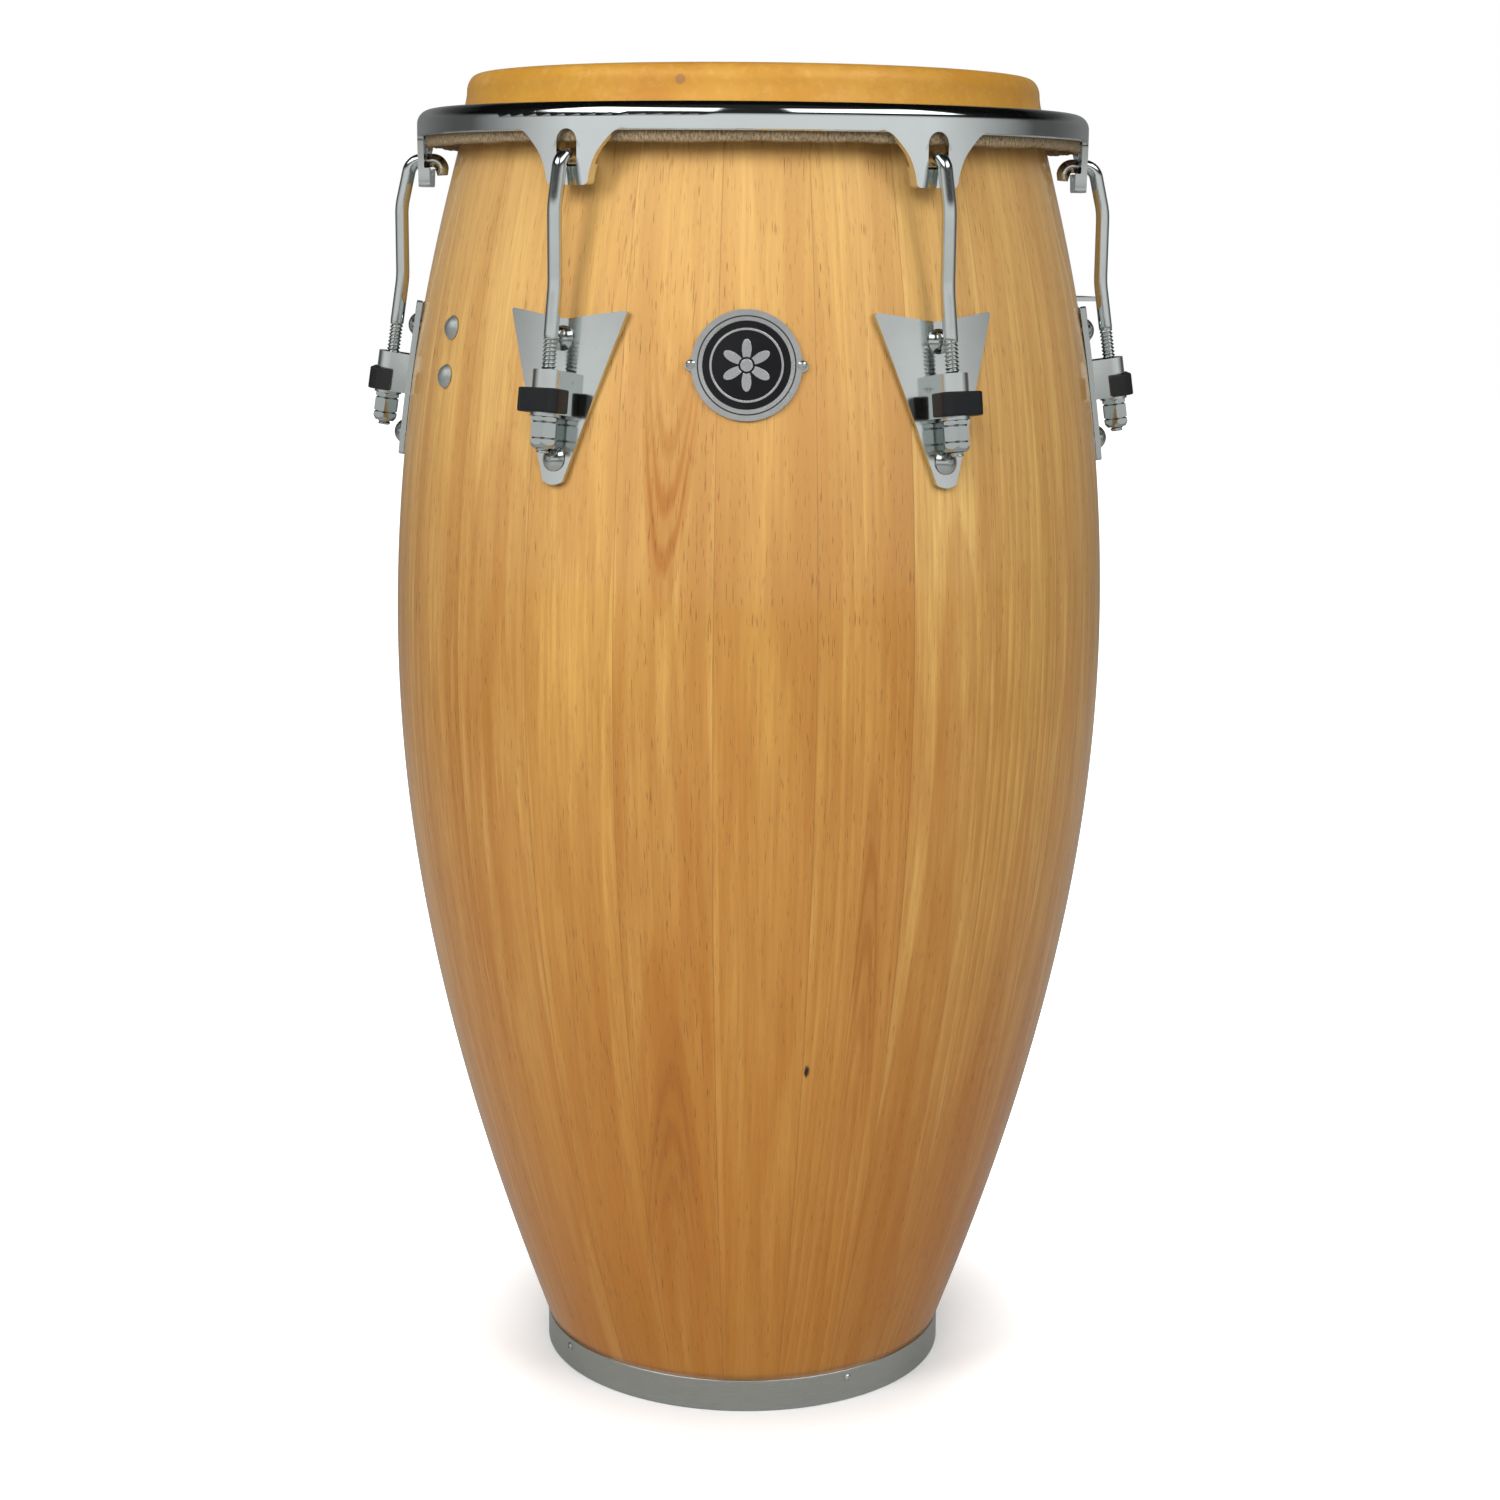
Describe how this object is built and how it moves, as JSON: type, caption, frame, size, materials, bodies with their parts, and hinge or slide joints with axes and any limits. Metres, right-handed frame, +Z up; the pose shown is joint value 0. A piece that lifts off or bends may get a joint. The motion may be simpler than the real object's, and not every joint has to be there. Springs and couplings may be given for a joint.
{
  "type": "conga drum",
  "caption": "Single hand drum: barrel-shaped staved wooden shell, rawhide head, chrome crown rim, hooked tension rods on V-shaped side plates, steel foot ring.",
  "frame": {"origin": "centre of the foot ring's underside, on the floor", "axes": "+Z up along the drum's axis, badge facing -Y"},
  "size_m": [0.4454, 0.414, 0.762],
  "materials": {
    "shell_wood": "clear gloss lacquer over natural wood",
    "ring_steel": "brushed round the ring",
    "small_screws": "plain steel",
    "badge_metal": "satin",
    "badge_field": "black enamel with a plain silver flower",
    "bolt_chrome": "polished",
    "zinc": "zinc plated",
    "plate_chrome": "polished",
    "rim_chrome": "mirror polish",
    "rod_chrome": "polished, rolled thread at the foot",
    "nut_chrome": "polished",
    "hoop_steel": "plain steel wire",
    "bumper_rubber": "matt black",
    "rawhide": "natural rawhide, scraped smooth"
  },
  "bodies": {
    "drum": {"shell_staves": "shell_wood", "bottom_ring": "ring_steel", "bottom_ring_screws": "small_screws", "badge_plate": "badge_metal", "badge_inlay": "badge_field", "badge_screws": "small_screws", "shell_bolts": "bolt_chrome", "shell_bolt_washers": "zinc", "shell_bolt_nuts": "zinc", "tuning_washers": "bolt_chrome", "stand_bracket": "plate_chrome", "head_skin": "rawhide", "side_plate_1": "plate_chrome", "side_plate_2": "plate_chrome", "side_plate_3": "plate_chrome", "side_plate_4": "plate_chrome", "side_plate_5": "plate_chrome", "side_plate_6": "plate_chrome", "bumper_1": "bumper_rubber", "bumper_2": "bumper_rubber", "bumper_3": "bumper_rubber", "bumper_4": "bumper_rubber", "bumper_5": "bumper_rubber", "bumper_6": "bumper_rubber"},
    "crown": {"crown_rim": "rim_chrome", "flesh_hoop": "hoop_steel", "hide_tuck": "rawhide"},
    "rod_1": {"tension_rod_1": "rod_chrome"},
    "nut_1": {"tuning_nut_1": "nut_chrome"},
    "rod_2": {"tension_rod_2": "rod_chrome"},
    "nut_2": {"tuning_nut_2": "nut_chrome"},
    "rod_3": {"tension_rod_3": "rod_chrome"},
    "nut_3": {"tuning_nut_3": "nut_chrome"},
    "rod_4": {"tension_rod_4": "rod_chrome"},
    "nut_4": {"tuning_nut_4": "nut_chrome"},
    "rod_5": {"tension_rod_5": "rod_chrome"},
    "nut_5": {"tuning_nut_5": "nut_chrome"},
    "rod_6": {"tension_rod_6": "rod_chrome"},
    "nut_6": {"tuning_nut_6": "nut_chrome"}
  },
  "joints": [
    {"name": "crown_slide", "type": "slide", "parent": "drum", "child": "crown", "axis": [0, 0, -1], "range_m": [-0.004, 0.006]},
    {"name": "rod_1_slide", "type": "slide", "parent": "drum", "child": "rod_1", "axis": [-0.0735, -0.1273, -0.9891], "range_m": [-0.0042, 0.0062]},
    {"name": "nut_1_spin", "type": "hinge", "parent": "drum", "child": "nut_1", "pos_m": [-0.10544, -0.18263, 0.59165], "axis": [0.0735, 0.1273, 0.9891], "continuous": true},
    {"name": "rod_2_slide", "type": "slide", "parent": "drum", "child": "rod_2", "axis": [0.0735, -0.1273, -0.9891], "range_m": [-0.0042, 0.0062]},
    {"name": "nut_2_spin", "type": "hinge", "parent": "drum", "child": "nut_2", "pos_m": [0.10544, -0.18263, 0.59165], "axis": [-0.0735, 0.1273, 0.9891], "continuous": true},
    {"name": "rod_3_slide", "type": "slide", "parent": "drum", "child": "rod_3", "axis": [0.1469, 0, -0.9891], "range_m": [-0.0042, 0.0062]},
    {"name": "nut_3_spin", "type": "hinge", "parent": "drum", "child": "nut_3", "pos_m": [0.21088, 0, 0.59165], "axis": [-0.1469, 0, 0.9891], "continuous": true},
    {"name": "rod_4_slide", "type": "slide", "parent": "drum", "child": "rod_4", "axis": [0.0735, 0.1273, -0.9891], "range_m": [-0.0042, 0.0062]},
    {"name": "nut_4_spin", "type": "hinge", "parent": "drum", "child": "nut_4", "pos_m": [0.10544, 0.18263, 0.59165], "axis": [-0.0735, -0.1273, 0.9891], "continuous": true},
    {"name": "rod_5_slide", "type": "slide", "parent": "drum", "child": "rod_5", "axis": [-0.0735, 0.1273, -0.9891], "range_m": [-0.0042, 0.0062]},
    {"name": "nut_5_spin", "type": "hinge", "parent": "drum", "child": "nut_5", "pos_m": [-0.10544, 0.18263, 0.59165], "axis": [0.0735, -0.1273, 0.9891], "continuous": true},
    {"name": "rod_6_slide", "type": "slide", "parent": "drum", "child": "rod_6", "axis": [-0.1469, 0, -0.9891], "range_m": [-0.0042, 0.0062]},
    {"name": "nut_6_spin", "type": "hinge", "parent": "drum", "child": "nut_6", "pos_m": [-0.21088, 0, 0.59165], "axis": [0.1469, 0, 0.9891], "continuous": true}
  ],
  "couplings": [
    {"joint": "rod_1_slide", "follows": "crown_slide", "ratio": 1.011},
    {"joint": "rod_2_slide", "follows": "crown_slide", "ratio": 1.011},
    {"joint": "rod_3_slide", "follows": "crown_slide", "ratio": 1.011},
    {"joint": "rod_4_slide", "follows": "crown_slide", "ratio": 1.011},
    {"joint": "rod_5_slide", "follows": "crown_slide", "ratio": 1.011},
    {"joint": "rod_6_slide", "follows": "crown_slide", "ratio": 1.011}
  ]
}
